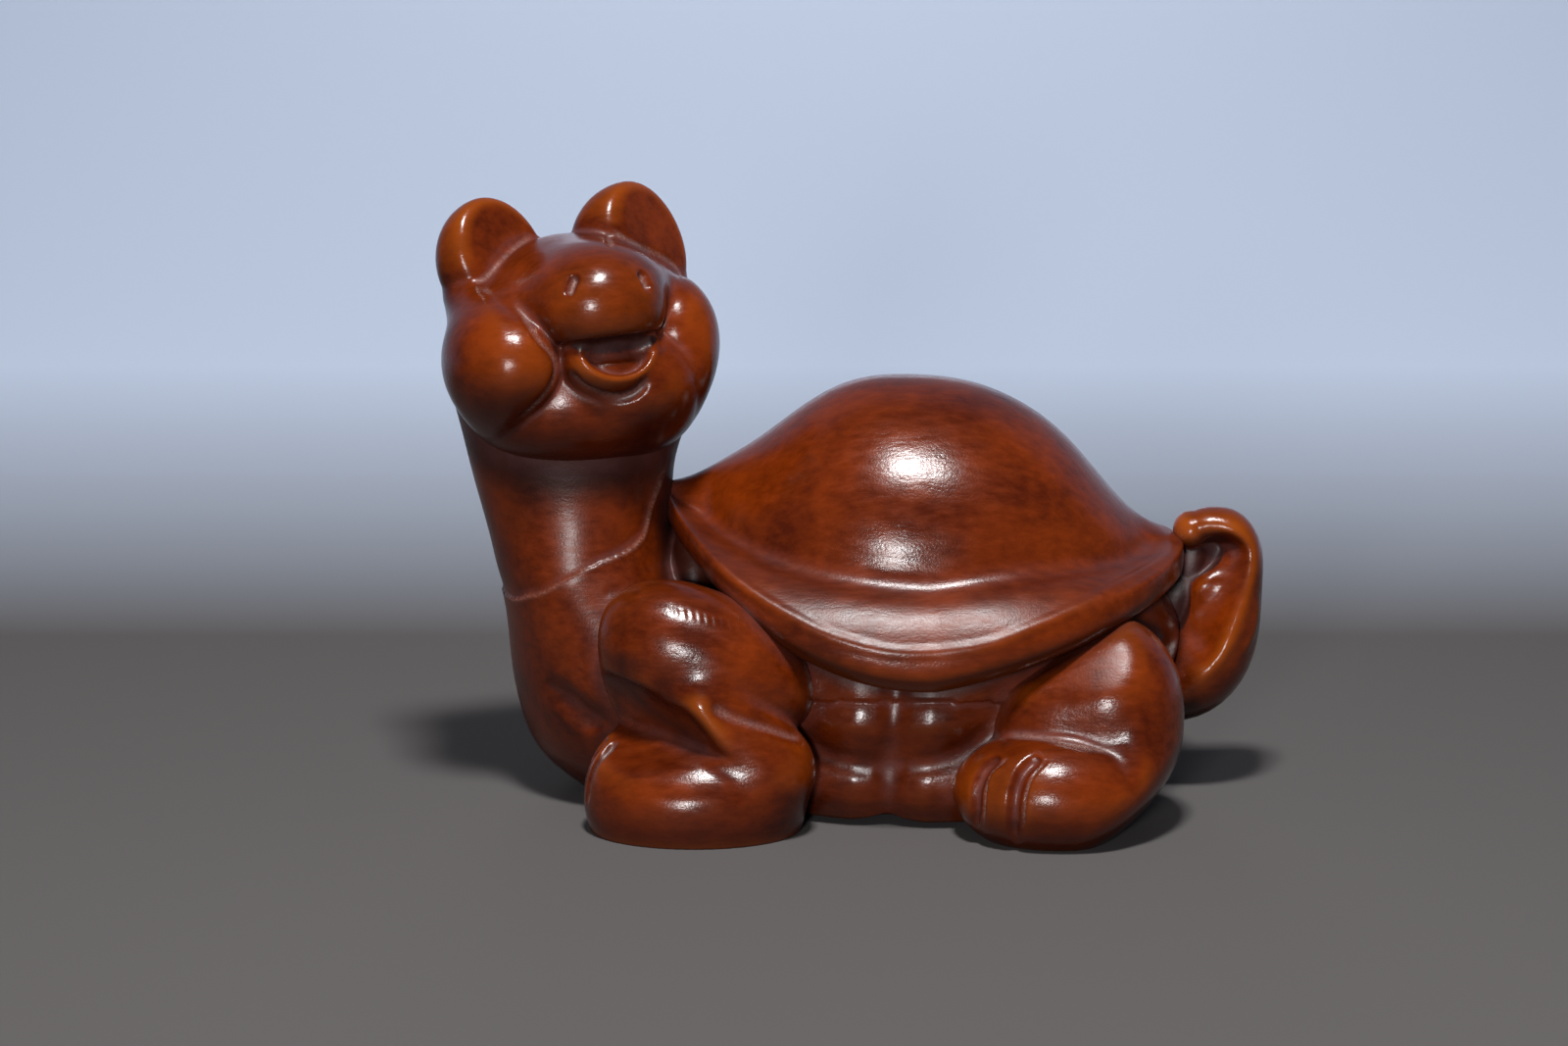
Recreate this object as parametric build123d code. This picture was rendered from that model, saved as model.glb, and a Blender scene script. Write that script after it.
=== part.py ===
# Turtle figurine carved from one block of boxwood. It looks up and sideways over its left flank, and
# has a flared shell, four folded legs and a curled tail. Each mass that a carved line bounds is a
# solid of its own, and neighbours meet face to face along that line.
# The turtle faces -X, its left flank is towards -Y, and it stands on Z = 0. Lengths are millimetres.
import math
import os

from build123d import *

# Shell: the domed back and its flared brim
shell_half_length = 20.4
shell_half_width = 17.8
shell_top_height = 33.0
brim_side_height = 13.2
brim_front_height = 22.9
brim_rear_height = 18.9
brim_side_roll = 1.7
brim_tip_roll = 0.95
brim_swell = 0.9
brim_hollow = 0.6
dome_half_length = 17.6
dome_half_width = 12.8
dome_foot_height = 18.6
dome_front_foot_height = 23.7
dome_rear_foot_height = 21.0

# Trunk and plastron under the shell
trunk_half_length = 18.6
trunk_half_width = 14.6
belly_clearance = 0.4
plastron_height = 6.2
trunk_crown_height = 16.0
bridge_groove_width = 0.8
bridge_groove_depth = 0.7
bridge_groove_place = -3.0
bridge_groove_lean = 5.0
rump_centre = (14.6, 0, 12.4)
rump_radii = (5.6, 8.5, 5.8)

# Chest and neck: one column, parted by a sloping line at the collar
column_foot_height = 0.4
column_top_height = 35.0
chest_half_width = 11.4
neck_half_width = 7.4
collar_front = 33.0
collar_height = 15.0
collar_slope = 38.0
collar_notch = 0.35

# Head: skull, jaw and the masses of the face, in the head's own turned frame
head_forward = 28.1
head_side = 0.6
head_height = 35.8
head_turn = 21.0
head_tilt = -5.0
head_roll = -0.5
skull_centre = (0.5, 0, -0.1)
skull_radii = (9.3, 8.5, 8.7)
jaw_centre = (0.6, -1.8, -4.8)
jaw_radii = (9.1, 7.3, 5.1)
chin_centre = (2.7, -5.4, -3.9)
chin_radii = (5.0, 5.1, 4.5)
snout_centre = (0.5, -7.3, 3.4)
snout_radii = (5.4, 5.0, 4.6)
beak_height = 0.85
beak_facing = (0.06, -0.15, -1.0)
left_cheek_centre = (7.0, -4.7, 0.4)
left_cheek_radii = (3.7, 4.3, 4.7)
right_cheek_centre = (-7.1, -4.6, -0.6)
right_cheek_radii = (4.2, 4.6, 4.7)
left_ear_centre = (6.5, 1.9, 7.1)
left_ear_radii = (5.2, 3.3, 5.1)
left_ear_facing = (0.55, -0.82, 0.12)
left_ear_face_distance = 1.6
right_ear_centre = (-5.1, 1.6, 6.9)
right_ear_radii = (4.7, 3.3, 4.8)
right_ear_facing = (0.42, -0.89, 0.15)
right_ear_face_distance = 1.25
ear_lean = 20.0
lip_centre = (0.7, -8.6, -1.5)
lip_radii = (3.4, 2.8, 1.8)
mouth_centre = (0.7, -11.0, 0.5)
mouth_radii = (3.3, 2.9, 1.75)
nostril_half_width = 0.35
nostril_half_height = 0.6
nostril_spread = 3.1
nostril_raise = 1.9

# Front legs, folded, with the elbow back and the paw forward
arm_centre = (-17.0, -12.2, 13.0)
arm_radii = (8.8, 5.1, 5.3)
arm_slope = 28.0
shoulder_centre = (-20.8, -11.4, 12.3)
shoulder_radii = (4.3, 4.4, 5.7)
paw_centre = (-18.0, -13.4, 2.6)
paw_radii = (8.6, 6.3, 7.6)
paw_top = (-19.4, -18.3, 6.1)
paw_top_facing = (-0.05, -0.5, 0.86)
forearm_upper = (-17.2, -14.0, 10.4)
forearm_lower = (-12.8, -14.6, 5.0)
forearm_radius = 4.1
# The deep notch between upper arm and paw lies beyond three planes: the arm's face, the paw's top
# and a ceiling under the arm
notch_face = (-16.3, -18.2, 8.6)
notch_face_facing = (-0.62, -0.74, -0.28)
notch_floor = (-15.2, -18.6, 6.6)
notch_floor_facing = (-0.2, -0.45, 0.87)
notch_ceiling = (-20.0, -18.2, 12.0)
notch_ceiling_facing = (-0.25, 0, -1.0)

# Hind legs, with the thigh high and the foot turned forward
thigh_centre = (13.7, -11.7, 8.5)
thigh_radii = (5.9, 6.3, 7.8)
thigh_slope = 4.0
knee_centre = (9.8, -11.8, 6.6)
knee_radii = (5.2, 5.8, 7.2)
thigh_facet = (10.5, -16.7, 11.6)
thigh_facet_facing = (-0.37, -0.56, 0.74)
thigh_brow = (10.0, -14.8, 13.3)
thigh_brow_facing = (-0.49, 0, 0.87)
scoop_start = (2.0, -21.3, 8.9)
scoop_finish = (14.0, -22.3, 8.9)
scoop_radius = 4.9
heel = (17.6, -14.0, 2.8)
heel_facing = (0.72, -0.25, -0.65)
hind_foot_centre = (9.8, -15.2, 3.5)
hind_foot_radii = (8.1, 6.3, 5.0)

# Toe grooves, scored into the sides of the feet that show
toe_groove_width = 0.7
toe_groove_depth = 0.8
hind_toe_places = (3.5, 6.3)
hind_toe_lean = 14.0
paw_toe_places = (-25.2, -23.9)
paw_toe_lean = 24.0

# Tail, a hook that rises behind the shell
tail_height = 22.4
tail_half_width = 4.1
tail_half_thickness = 3.0
tail_root_height = 8.0

# Cutters reach this far past what they cut
overrun = 3.0


def ovoid(centre, radii, turn=(0, 0, 0)):
    """An egg-like mass: a unit ball stretched to its three radii, turned and set at its centre."""
    ball = scale(Sphere(1), by=radii)
    return Location(centre, turn) * ball


def largest(shape):
    """The largest solid of a shape, so that no chip is left behind by a cut."""
    return max(shape.solids(), key=lambda solid: solid.volume)


def carved(shape, *neighbours):
    """What is left of a mass once each neighbour that lies over it has been cut away."""
    for neighbour in neighbours:
        shape = largest(shape - neighbour)
    return shape


def block_span():
    """An edge length that is longer than the whole figurine."""
    return 4 * shell_half_length + overrun


def above_ground(shape, floor_height):
    """A mass cut flat at the height of its sole or belly."""
    span = block_span()
    slab = Location((0, 0, floor_height - span / 2)) * Box(span, span, span)
    return largest(shape - slab)


def faceted(mass, place, facing):
    """A mass cut flat along a plane: what lies beyond the plane on its facing side is gone."""
    return largest(mass - beyond(place, facing))


def beyond(place, facing):
    """The block that lies beyond a plane, on the side that the plane faces."""
    span = block_span()
    return Plane(origin=place, z_dir=facing).location * Location((0, 0, span / 2)) * Box(span, span, span)


def rod(start, finish, radius):
    """A straight rod with round ends."""
    line = Line(start, finish)
    shaft = Plane(origin=line @ 0.5, z_dir=line % 0.5).location * Cylinder(radius, line.length)
    return Location(start) * Sphere(radius) + shaft + Location(finish) * Sphere(radius)


def mirrored(shape):
    """The same mass on the other flank."""
    return mirror(shape, about=Plane.XZ)


# Stations along the shell as shares of its half length, nose to tail, with the height of the ridge
# at each as shares of the way from the height of the rear brim to the top.
ridge_stations = (
    (-0.997, 0.405),
    (-0.975, 0.41),
    (-0.93, 0.425),
    (-0.87, 0.46),
    (-0.79, 0.52),
    (-0.66, 0.63),
    (-0.5, 0.8),
    (-0.32, 0.95),
    (-0.06, 1.0),
    (0.17, 0.96),
    (0.36, 0.85),
    (0.55, 0.64),
    (0.7, 0.39),
    (0.82, 0.215),
    (0.9, 0.15),
    (0.96, 0.11),
    (0.99, 0.09),
    (0.998, 0.08),
)
plan_power = 2.3
front_rise_power = 2.1
rear_rise_power = 1.2
# Across the dome: how far out as shares of its foot, and how high as shares of its own height
dome_shares = ((0.9, 0.36), (0.66, 0.69), (0.34, 0.92))


def part_way(start, finish, share):
    return start + (finish - start) * share


def shell_section(station, ridge_share):
    """One upright slice across the shell: dome, flared brim, rolled edge and hollow underside."""
    forward = station < 0
    reach = abs(station)
    width = shell_half_width * (1 - reach**plan_power) ** 0.5
    tip_height = brim_front_height if forward else brim_rear_height
    rise_power = front_rise_power if forward else rear_rise_power
    edge = part_way(brim_side_height, tip_height, reach**rise_power)
    roll = min(part_way(brim_side_roll, brim_tip_roll, reach**2), width / 2)
    ridge = part_way(brim_rear_height, shell_top_height, ridge_share)
    ridge = max(ridge, edge + roll)
    along = min(reach * shell_half_length / dome_half_length, 1)
    foot_width = max(dome_half_width * (1 - along**2) ** 0.5, width * 0.3)
    foot_tip_height = dome_front_foot_height if forward else dome_rear_foot_height
    foot = part_way(dome_foot_height, foot_tip_height, min(reach, 1) ** 2.4)
    foot = min(foot, ridge - roll / 9)
    foot = max(foot, part_way(edge + roll, ridge, 0.3))
    brow = width - roll / 2
    lip = width - roll / 2
    crest = edge + roll
    keel = edge - roll
    waist = part_way(foot_width, brow, 0.5)
    swell = part_way(foot, crest, 0.5) + brim_swell * (1 - reach**2)
    dome = [(-foot_width, foot)]
    dome += [(-foot_width * out, part_way(foot, ridge, up)) for out, up in dome_shares]
    dome += [(0, ridge)]
    dome += [(foot_width * out, part_way(foot, ridge, up)) for out, up in reversed(dome_shares)]
    dome += [(foot_width, foot)]
    left_brim = Spline([(-brow, crest), (-waist, swell), (-foot_width, foot)])
    right_brim = Spline([(foot_width, foot), (waist, swell), (brow, crest)])
    right_roll = ThreePointArc((brow, crest), (width, edge), (lip, keel))
    left_roll = ThreePointArc((-lip, keel), (-width, edge), (-brow, crest))
    under = Spline([(lip, keel), (0, keel + brim_hollow), (-lip, keel)])
    outline = make_face(left_brim + Spline(dome) + right_brim + right_roll + under + left_roll)
    across = Plane(origin=(station * shell_half_length, 0, 0), x_dir=(0, 1, 0), z_dir=(1, 0, 0))
    return across * outline


def make_carapace():
    """The shell, lofted nose to tail through its slices."""
    return largest(loft([shell_section(station, ridge) for station, ridge in ridge_stations]))


# The tub of the trunk: heights as shares of its crown, with length and width shares at each
tub_shares = (
    (0.0, 0.9, 0.92),
    (0.1, 0.96, 0.97),
    (0.38, 1.0, 1.0),
    (0.62, 1.0, 1.0),
    (0.85, 0.94, 0.93),
    (1.0, 0.86, 0.84),
)


def make_tub(inset):
    """The trunk and plastron together, as one tub of ellipses, or its core at a groove's depth."""
    rings = []
    for height, length, width in tub_shares:
        ring = Ellipse(trunk_half_length * length - inset, trunk_half_width * width - inset)
        rings.append(Plane.XY.offset(part_way(belly_clearance, trunk_crown_height, height)) * ring)
    return loft(rings)


def make_bridge_grooves():
    """The cross of grooves over the bridge between the legs, on both flanks."""
    rind = make_tub(0) - make_tub(bridge_groove_depth)
    span = block_span()
    upright = Box(bridge_groove_width, span, span)
    level = Box(span, span, bridge_groove_width)
    upright = Location((bridge_groove_place, 0, plastron_height), (0, bridge_groove_lean, 0)) * upright
    level = Location((0, 0, plastron_height)) * level
    return rind & (upright + level)


def scored(mass, centre, radii, places, lean):
    """A mass with thin toe grooves at the given places along the figurine."""
    core_radii = tuple(radius - toe_groove_depth for radius in radii)
    rim_radii = tuple(radius + toe_groove_depth for radius in radii)
    rind = ovoid(centre, rim_radii) - ovoid(centre, core_radii)
    for place in places:
        blade = Box(toe_groove_width, 2 * radii[1], 4 * radii[2])
        blade = Location((place, centre[1] - radii[1], centre[2]), (0, lean, 0)) * blade
        mass = largest(mass - (rind & blade))
    return mass


def make_notch():
    notch = beyond(notch_face, notch_face_facing) & beyond(notch_floor, notch_floor_facing)
    return notch & beyond(notch_ceiling, notch_ceiling_facing)


def make_arm():
    arm = ovoid(arm_centre, arm_radii, (0, arm_slope, 0)) + ovoid(shoulder_centre, shoulder_radii)
    return largest(largest(arm) - make_notch())


def make_paw():
    paw = faceted(ovoid(paw_centre, paw_radii), paw_top, paw_top_facing)
    paw = scored(paw, paw_centre, paw_radii, paw_toe_places, paw_toe_lean)
    forearm = rod(forearm_upper, forearm_lower, forearm_radius)
    paw = largest(largest(paw + forearm) - make_notch())
    return above_ground(paw, 0)


def make_thigh():
    thigh = ovoid(thigh_centre, thigh_radii, (0, thigh_slope, 0)) + ovoid(knee_centre, knee_radii)
    thigh = faceted(largest(thigh), thigh_facet, thigh_facet_facing)
    thigh = faceted(thigh, thigh_brow, thigh_brow_facing)
    thigh = largest(thigh - rod(scoop_start, scoop_finish, scoop_radius))
    return above_ground(faceted(thigh, heel, heel_facing), 0)


def make_hind_foot():
    foot = ovoid(hind_foot_centre, hind_foot_radii)
    foot = scored(foot, hind_foot_centre, hind_foot_radii, hind_toe_places, hind_toe_lean)
    return above_ground(faceted(foot, heel, heel_facing), 0)


# The column of chest and neck: heights as shares of the way from its foot to its top, and then how
# far forward its front is, how far forward its back is, and its half width as a share
chest_rings = (
    (0.0, 27.6, 9.0, 0.72),
    (0.07, 30.4, 9.0, 0.86),
    (0.16, 32.0, 9.0, 0.96),
    (0.27, 32.8, 10.0, 1.0),
    (0.42, 33.2, 13.0, 0.93),
    (0.56, 34.2, 19.0, 0.76),
    (0.7, 35.4, 19.9, 0.68),
)
neck_rings = (
    (0.2, 32.4, 17.0, 1.06),
    (0.42, 33.5, 18.2, 1.0),
    (0.58, 34.9, 19.4, 1.0),
    (0.72, 36.0, 19.7, 1.02),
    (1.0, 36.6, 20.0, 1.08),
)


def make_column(rings, half_width, inset):
    """A column of ellipses, each between a front and a back line."""
    slices = []
    for height, front, back, width in rings:
        level = part_way(column_foot_height, column_top_height, height)
        ring = Ellipse((front - back) / 2 - inset, half_width * width - inset)
        slices.append(Location((-(front + back) / 2, 0, level)) * ring)
    return loft(slices)


def collar_block():
    """Everything above the sloping line of the collar."""
    span = block_span()
    block = Location((span / 2 - collar_front, 0, span / 2)) * Box(2 * span, span, span)
    lean = Location((-collar_front, 0, collar_height), (0, -collar_slope, 0))
    return lean * (Location((span / 2, 0, span / 2)) * Box(2 * span, span, span))


head_frame = (
    Location((-head_forward, -head_side, head_height))
    * Rotation(0, 0, head_turn)
    * Rotation(head_tilt, 0, 0)
    * Rotation(0, head_roll, 0)
)


def on_head(shape):
    """A mass made in the head's frame: x to its left ear, -y out of its face, z to its crown."""
    return head_frame * shape


def make_head():
    head = ovoid(skull_centre, skull_radii) + ovoid(jaw_centre, jaw_radii)
    return on_head(largest(head + ovoid(chin_centre, chin_radii)))


def make_snout():
    """The round snout, flat beneath, with its two nostrils let in where they lie on its surface."""
    mass = ovoid(snout_centre, snout_radii)
    middle, front, height = snout_centre
    out_share = nostril_spread / snout_radii[0]
    up_share = nostril_raise / snout_radii[2]
    depth = snout_radii[1] * (1 - out_share**2 - up_share**2) ** 0.5
    radii = (nostril_half_width, nostril_half_height, nostril_half_height)
    for side in (-1, 1):
        place = (middle + side * nostril_spread, front - depth, height + nostril_raise)
        mass = mass - ovoid(place, radii)
    return on_head(faceted(largest(mass), (middle, front, beak_height), beak_facing))


def make_ear(centre, radii, lean, facing, distance):
    """A thick round lobe, cut flat across its front face."""
    lobe = ovoid(centre, radii, (0, lean, 0))
    place = tuple(part + distance * share for part, share in zip(centre, facing))
    return on_head(lobe - beyond(place, facing))


def make_mouth_cut():
    return on_head(ovoid(mouth_centre, mouth_radii))


def make_lip():
    return on_head(ovoid(lip_centre, lip_radii))


# The tail's middle line from root to tip: how far behind the shell's rear tip in shares of the tail's
# half thickness, how high between root and top, the turn of its slice, and its thickness as a share
tail_line_shares = (
    (-1.2, 0.0, 88.0, 0.94),
    (0.0, 0.03, 66.0, 1.03),
    (0.67, 0.17, 34.0, 1.1),
    (0.93, 0.35, 6.0, 1.08),
    (1.03, 0.51, 4.0, 1.0),
    (1.3, 0.65, 4.0, 0.79),
    (1.52, 0.78, -14.0, 0.56),
    (1.3, 0.885, -46.0, 0.48),
    (0.93, 0.92, -82.0, 0.44),
    (0.57, 0.9, -112.0, 0.4),
    (0.26, 0.86, -138.0, 0.37),
)


def make_tail():
    """A hook, lofted along its middle line, that ends in a small ball beside the shell's rear tip."""
    rings = []
    for behind, height, turned, thick in tail_line_shares:
        level = part_way(tail_root_height, tail_height, height)
        place = (shell_half_length + behind * tail_half_thickness, 0, level)
        turn = math.radians(turned)
        across = Plane(
            origin=place,
            x_dir=(math.cos(turn), 0, -math.sin(turn)),
            z_dir=(math.sin(turn), 0, math.cos(turn)),
        )
        rings.append(across * Ellipse(tail_half_thickness * thick, tail_half_width * thick))
    tip = Location(place) * Sphere(tail_half_width * thick)
    return largest(loft(rings) + tip)


def build_all():
    """Every mass in the turtle's own place, each cut by the neighbours that lie over it."""
    carapace = make_carapace()
    span = block_span()
    tub = carved(make_tub(0), carapace)
    lower = Location((0, 0, plastron_height - span / 2)) * Box(span, span, span)
    grooves = make_bridge_grooves()
    plastron = largest((tub & lower) - grooves)
    rump = carved(ovoid(rump_centre, rump_radii), carapace)
    trunk = largest(((tub - lower) + rump) - grooves)
    hind_foot = carved(make_hind_foot(), carapace, trunk, plastron)
    thigh = carved(make_thigh(), carapace, trunk, plastron, hind_foot)
    paw = carved(make_paw(), carapace, trunk, plastron)
    arm = carved(make_arm(), carapace, trunk, plastron, paw)
    limbs = (arm, mirrored(arm), paw, mirrored(paw))
    collar = collar_block()
    chest = make_column(chest_rings, chest_half_width, 0)
    chest = carved(chest, collar, carapace, trunk, plastron, *limbs)
    head = make_head()
    neck = make_column(neck_rings, neck_half_width, collar_notch) & collar
    neck = carved(neck, carapace, trunk, head, *limbs)
    mouth = make_mouth_cut()
    snout = carved(make_snout(), head, mouth)
    left_ear = make_ear(
        left_ear_centre, left_ear_radii, ear_lean, left_ear_facing, left_ear_face_distance
    )
    right_ear = make_ear(
        right_ear_centre, right_ear_radii, -ear_lean, right_ear_facing, right_ear_face_distance
    )
    masses = {
        "carapace": carapace,
        "trunk": trunk,
        "plastron": plastron,
        "chest": chest,
        "neck": neck,
        "head": head,
        "snout": snout,
        "left_cheek": carved(on_head(ovoid(left_cheek_centre, left_cheek_radii)), head, snout, neck),
        "right_cheek": carved(on_head(ovoid(right_cheek_centre, right_cheek_radii)), head, snout, neck),
        "left_ear": carved(left_ear, head),
        "right_ear": carved(right_ear, head),
        "lower_lip": carved(make_lip(), head, snout, mouth),
        "front_left_arm": arm,
        "front_right_arm": mirrored(arm),
        "front_left_paw": paw,
        "front_right_paw": mirrored(paw),
        "hind_left_thigh": thigh,
        "hind_right_thigh": mirrored(thigh),
        "hind_left_foot": hind_foot,
        "hind_right_foot": mirrored(hind_foot),
        "tail": carved(make_tail(), carapace, trunk, plastron, thigh, mirrored(thigh)),
    }
    return masses


os.makedirs("parts", exist_ok=True)
masses = build_all()
whole = Compound(list(masses.values())).bounding_box()
middle = whole.center()
for name, mass in masses.items():
    export_step(Location((-middle.X, -middle.Y, 0)) * mass, f"parts/{name}.step")
print("box", whole.min, whole.max)
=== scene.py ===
# %% [markdown]
# # A turtle carved from one block of boxwood
#
# The real figurine fits in a palm: a turtle with a round bear-like head, a smooth flared shell, four
# folded legs and a curled tail. It was cut with knife and gouge from one block, stained deep
# red-brown, waxed and rubbed, so it has no seams. What the eye reads is soft swelling forms, crisp
# creases where two forms meet, and pale wax left in those creases.
#
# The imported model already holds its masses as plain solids. Each piece below starts again from
# Blender primitives at the same places and is then worked as clay: joined, remeshed to a fine even
# skin, melted together, and carved along lines.

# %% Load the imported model
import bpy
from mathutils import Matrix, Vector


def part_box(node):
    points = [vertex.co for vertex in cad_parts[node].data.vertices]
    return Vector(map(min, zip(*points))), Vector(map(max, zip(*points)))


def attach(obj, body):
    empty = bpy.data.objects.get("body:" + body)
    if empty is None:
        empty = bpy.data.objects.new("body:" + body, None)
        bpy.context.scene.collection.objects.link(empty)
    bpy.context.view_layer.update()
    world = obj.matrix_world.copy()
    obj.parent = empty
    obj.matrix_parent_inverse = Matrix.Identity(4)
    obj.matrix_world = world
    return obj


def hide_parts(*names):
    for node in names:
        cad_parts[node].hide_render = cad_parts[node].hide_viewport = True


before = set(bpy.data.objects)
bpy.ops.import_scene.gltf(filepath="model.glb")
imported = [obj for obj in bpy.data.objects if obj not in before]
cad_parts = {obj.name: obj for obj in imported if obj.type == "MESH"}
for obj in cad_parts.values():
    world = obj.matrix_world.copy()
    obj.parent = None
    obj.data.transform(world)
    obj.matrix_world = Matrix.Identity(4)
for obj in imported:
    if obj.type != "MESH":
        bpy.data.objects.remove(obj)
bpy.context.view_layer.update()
print("packed nodes:", len(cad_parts))

# %% Libraries
import math

import bpy
import numpy as np
from mathutils import Matrix, Vector
from mathutils.bvhtree import BVHTree

# %% [markdown]
# ## Units and the origin
#
# A carving this small is easier to think about in millimetres. All forms below are given in
# millimetres, with the middle of the shell over the origin and the floor at height zero. Only at the
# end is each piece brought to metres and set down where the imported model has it.

# %% Where the shell's middle is
per_metre = 1000
shell_low, shell_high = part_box("carapace")
home = (shell_low.x + shell_high.x) / 2 * per_metre
to_model = Matrix.Scale(1 / per_metre, 4) @ Matrix.Translation((home, 0, 0))
print("shell middle at", round(home, 2), "mm")

# %% [markdown]
# ## The camera
#
# The photograph looks slightly down on the turtle's flank from a little over a third of a metre. The
# camera comes first, because the carved lines are drawn as seen through it: a line is listed as
# points of the photograph, and each point is then cast on to the skin of the piece it runs over.

# %% The camera at the photograph's viewing angle
photo_width, photo_height = 1600, 1067
focal_pixels = 4400
sensor_width = 36.0
pitch = math.radians(12)
eye_distance = 341.0
aim_point = np.array((-11.2, 0.0, 21.2))
ahead = np.array((0.0, math.cos(pitch), -math.sin(pitch)))
above = np.array((0.0, math.sin(pitch), math.cos(pitch)))
aside = np.array((1.0, 0.0, 0.0))
eye = aim_point - eye_distance * ahead

bpy.ops.object.camera_add(location=to_model @ Vector(eye), rotation=(math.pi / 2 - pitch, 0, 0))
camera = bpy.context.object
camera.name = "photo_camera"
camera.data.sensor_width = sensor_width
camera.data.lens = focal_pixels / photo_width * sensor_width
camera.data.clip_start = 0.01
bpy.context.scene.camera = camera
print("lens", round(camera.data.lens, 1), "mm")


# %% A ray through a point of the photograph
def ray_through(across, down):
    ray = ahead + aside * (across - photo_width / 2) / focal_pixels
    ray = ray + above * (photo_height / 2 - down) / focal_pixels
    return ray / np.linalg.norm(ray)


# %% [markdown]
# ## Clay tools
#
# These helpers select one piece, add an egg-like ball or a tube, join them and remesh them. The voxel
# remesh gives an even skin of small quads with no seams or poles, which is what a carving needs. The
# width of a quad keeps each piece under 200,000 triangles.

# %% Selecting, adding balls and tubes, joining and remeshing
coarser = 1.0
grains = {"head": 0.15, "torso": 0.195, "bridge": 0.2, "tail": 0.13}
grains.update(foreleg_left=0.13, hindleg_left=0.13)


def only(*parts):
    bpy.ops.object.select_all(action="DESELECT")
    for part in parts:
        part.select_set(True)
    bpy.context.view_layer.objects.active = parts[0]


def add_ball(place, radii, frame_of_mass=Matrix.Identity(4)):
    """A ball stretched to three radii, in the frame of its mass."""
    bpy.ops.object.select_all(action="DESELECT")
    bpy.ops.mesh.primitive_uv_sphere_add(segments=48, ring_count=28, radius=1)
    ball = bpy.context.object
    shaped = frame_of_mass @ Matrix.Translation(place) @ Matrix.Diagonal((*radii, 1))
    ball.data.transform(shaped)
    return ball


def add_tube(sides, *cuts):
    """A tube from half under to half over the floor, its edges cut up by each number in turn."""
    bpy.ops.object.select_all(action="DESELECT")
    bpy.ops.mesh.primitive_cylinder_add(vertices=sides, radius=1, depth=1, end_fill_type="TRIFAN")
    tube = bpy.context.object
    only(tube)
    bpy.ops.object.mode_set(mode="EDIT")
    bpy.ops.mesh.select_all(action="SELECT")
    for number in cuts:
        bpy.ops.mesh.subdivide(number_cuts=number)
    bpy.ops.object.mode_set(mode="OBJECT")
    return tube


def join_as(name, parts):
    only(*parts)
    if len(parts) > 1:
        bpy.ops.object.join()
    piece = bpy.context.object
    piece.name = piece.data.name = name
    return piece


def remesh(piece, grain):
    """An even skin of quads about one grain wide."""
    only(piece)
    skin = piece.modifiers.new("even_skin", "REMESH")
    skin.mode = "VOXEL"
    skin.voxel_size = grain * coarser
    bpy.ops.object.modifier_apply(modifier=skin.name)
    piece.data.shade_smooth()
    return piece


# %% [markdown]
# Reading and moving all points of a mesh at once keeps the carving quick. The averaging step, which
# moves each point towards the middle of its neighbours, is the digital rasp: it evens a surface out.

# %% Reading, averaging and moving points
def points_of(piece):
    flat = np.empty(len(piece.data.vertices) * 3)
    piece.data.vertices.foreach_get("co", flat)
    return flat.reshape(-1, 3)


def normals_of(piece):
    flat = np.empty(len(piece.data.vertices) * 3, np.float32)
    piece.data.vertex_normals.foreach_get("vector", flat)
    return flat.reshape(-1, 3).astype(float)


def edges_of(piece):
    flat = np.empty(len(piece.data.edges) * 2, np.int32)
    piece.data.edges.foreach_get("vertices", flat)
    return flat.reshape(-1, 2)


def move_points(piece, points):
    piece.data.vertices.foreach_set("co", points.ravel())
    piece.data.update()


def averaged(values, edges, rounds=1, share=1.0):
    """Each value drawn towards the mean of its neighbours."""
    count = np.bincount(edges.ravel(), minlength=len(values)).astype(float)
    count[count == 0] = 1
    for _ in range(rounds):
        total = np.empty_like(values)
        for axis in range(values.shape[1]):
            column = values[:, axis]
            total[:, axis] = np.bincount(edges[:, 0], column[edges[:, 1]], len(values))
            total[:, axis] += np.bincount(edges[:, 1], column[edges[:, 0]], len(values))
        values = values + share * (total / count[:, None] - values)
    return values


def rasped(points, edges, near, rounds):
    """Points evened out, each by as much as near says."""
    return points + near[:, None] * (averaged(points, edges, rounds, 0.6) - points)


def smooth_skin(name, parts, rounds):
    """Parts joined under one even skin, and the rasp taken to all of it."""
    piece = remesh(join_as(name, parts), grains[name])
    move_points(piece, averaged(points_of(piece), edges_of(piece), rounds, 0.5))
    print(name + ":", len(piece.data.vertices), "points")
    return piece


def row_lengths(vectors):
    return np.sqrt((vectors**2).sum(1))


def eased(values, low, high):
    """Nought below one bound, one above the other, and a soft rise between."""
    share = np.clip((values - low) / (high - low), 0, 1)
    return share * share * (3 - 2 * share)


# %% [markdown]
# ## Melting forms together
#
# A form is written as a depth: negative inside, zero on the surface, positive outside. Two forms
# melt into each other with a soft valley of a chosen width, and a gouge takes a form out of another.
# The remeshed balls are then settled on to the melted form, point by point.

# %% Depths of simple forms
def ovoid(points, place, radii, axes=None):
    """About how far points lie outside an egg-like ball."""
    local = points - np.array(place, float)
    if axes is not None:
        local = local @ axes
    radii = np.array(radii, float)
    share = row_lengths(local / radii)
    steep = row_lengths(local / radii**2)
    return share * (share - 1) / np.maximum(steep, 1e-9)


def rod(points, start, finish, radius):
    """How far points lie outside a rod with round ends."""
    start, finish = np.array(start, float), np.array(finish, float)
    run = finish - start
    share = np.clip((points - start) @ run / (run @ run), 0, 1)
    return row_lengths(points - start - share[:, None] * run) - radius


def melt(one, other, blend):
    """Both forms together, with a soft valley between them."""
    near = np.maximum(blend - np.abs(one - other), 0) / blend
    return np.minimum(one, other) - near * near * blend / 4


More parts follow.
